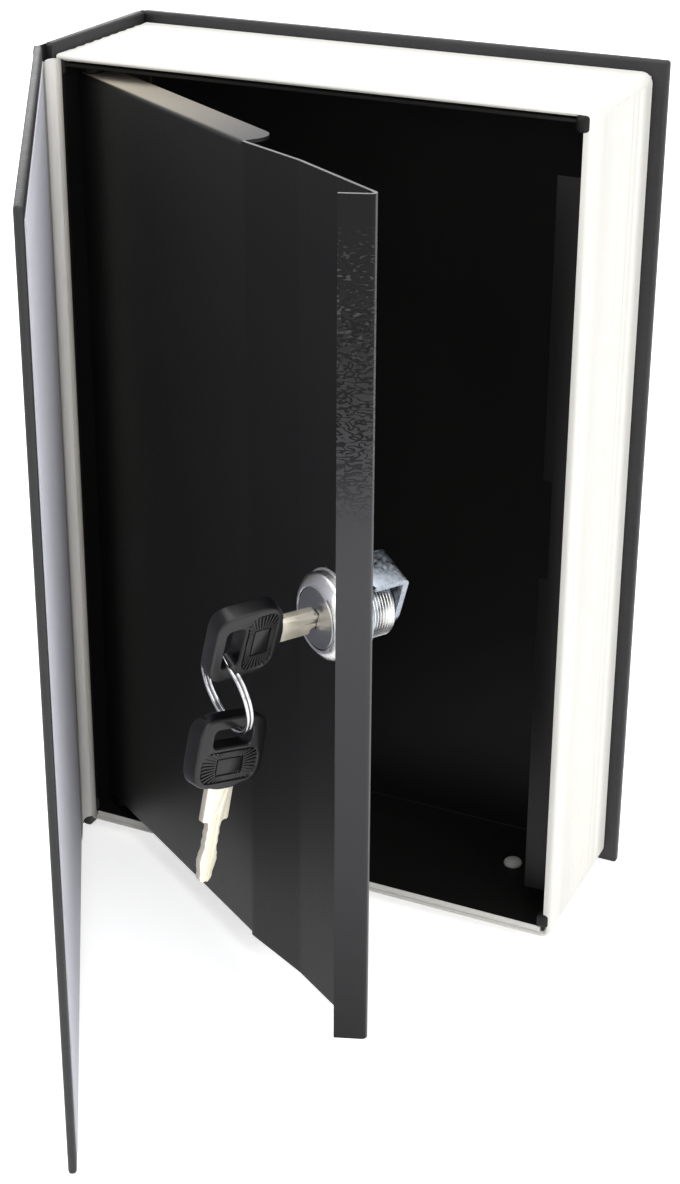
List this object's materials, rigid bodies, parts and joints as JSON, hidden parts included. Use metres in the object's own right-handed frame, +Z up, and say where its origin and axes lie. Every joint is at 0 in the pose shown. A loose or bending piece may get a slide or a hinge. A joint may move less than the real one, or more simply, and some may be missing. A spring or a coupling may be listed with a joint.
{
  "type": "book diversion safe",
  "caption": "Hollow book that hides a sheet-steel cash box with a hinged steel door, a key-operated cam lock and keys on a split ring.",
  "frame": {"origin": "on the bottom edge of the back cover board, at the closed book's mid width and the board's mid thickness", "axes": "+Z up along the book's height, +X from the spine to the fore edge, +Y from the front cover to the back cover"},
  "size_m": [0.1554, 0.1888, 0.24],
  "materials": {
    "leatherette": "matte",
    "liner": "matte",
    "pages": "matte",
    "powder": "satin",
    "plastic": "matte",
    "zinc": "satin",
    "chrome": "polished",
    "satin": "satin",
    "brass": "satin",
    "spring": "gloss",
    "nickel": "satin",
    "bow": "satin"
  },
  "bodies": {
    "root": {"back_cover_board": "leatherette", "spine_board": "leatherette", "front_joint_cloth": "leatherette", "back_joint_cloth": "leatherette", "back_liner": "liner", "page_shell": "pages", "lock_box": "powder", "shell_rivet_1": "plastic", "shell_rivet_2": "plastic", "shell_rivet_3": "plastic", "shell_rivet_4": "plastic", "hinge_pin_top": "powder", "hinge_pin_bottom": "powder", "hinge_washer_top": "powder", "hinge_washer_bottom": "powder"},
    "cover": {"front_cover_board": "leatherette", "front_liner": "liner"},
    "door": {"door_panel": "powder", "lock_housing": "chrome", "lock_washer": "zinc", "lock_nut": "zinc"},
    "plug": {"lock_plug": "satin", "wafer_1": "brass", "wafer_2": "brass", "wafer_3": "brass", "wafer_4": "brass", "wafer_5": "brass", "wafer_spring_1": "spring", "wafer_spring_2": "spring", "wafer_spring_3": "spring", "wafer_spring_4": "spring", "wafer_spring_5": "spring", "cam": "zinc", "cam_washer": "zinc", "cam_screw": "zinc"},
    "key": {"key_blade": "nickel", "key_bow": "bow"},
    "ring": {"split_ring": "spring"},
    "spare": {"spare_key_blade": "nickel", "spare_key_bow": "bow"}
  },
  "joints": [
    {"name": "cover_hinge", "type": "hinge", "parent": "root", "child": "cover", "pos_m": [-0.0771, -0.0532, 0], "axis": [0, 0, -1], "range_deg": [0, 120]},
    {"name": "door_hinge", "type": "hinge", "parent": "root", "child": "door", "pos_m": [-0.0675, -0.0424, 0], "axis": [0, 0, -1], "range_deg": [-33, 0]},
    {"name": "plug_turn", "type": "hinge", "parent": "door", "child": "plug", "pos_m": [0.0333, -0.11156, 0.1233], "axis": [0.5446, 0.8387, 0], "range_deg": [-20, 70]},
    {"name": "key_withdraw", "type": "slide", "parent": "plug", "child": "key", "axis": [-0.5446, -0.8387, 0], "range_m": [0, 0.018]},
    {"name": "ring_swing", "type": "hinge", "parent": "key", "child": "ring", "pos_m": [0.01609, -0.13275, 0.11536], "axis": [0.5446, 0.8387, 0], "range_deg": [-70, 20]},
    {"name": "spare_swing", "type": "hinge", "parent": "ring", "child": "spare", "pos_m": [0.01746, -0.13016, 0.09874], "axis": [0.9205, -0.3907, 0], "range_deg": [-8, 8]}
  ],
  "couplings": [
    {"joint": "ring_swing", "follows": "plug_turn", "ratio": -1}
  ]
}
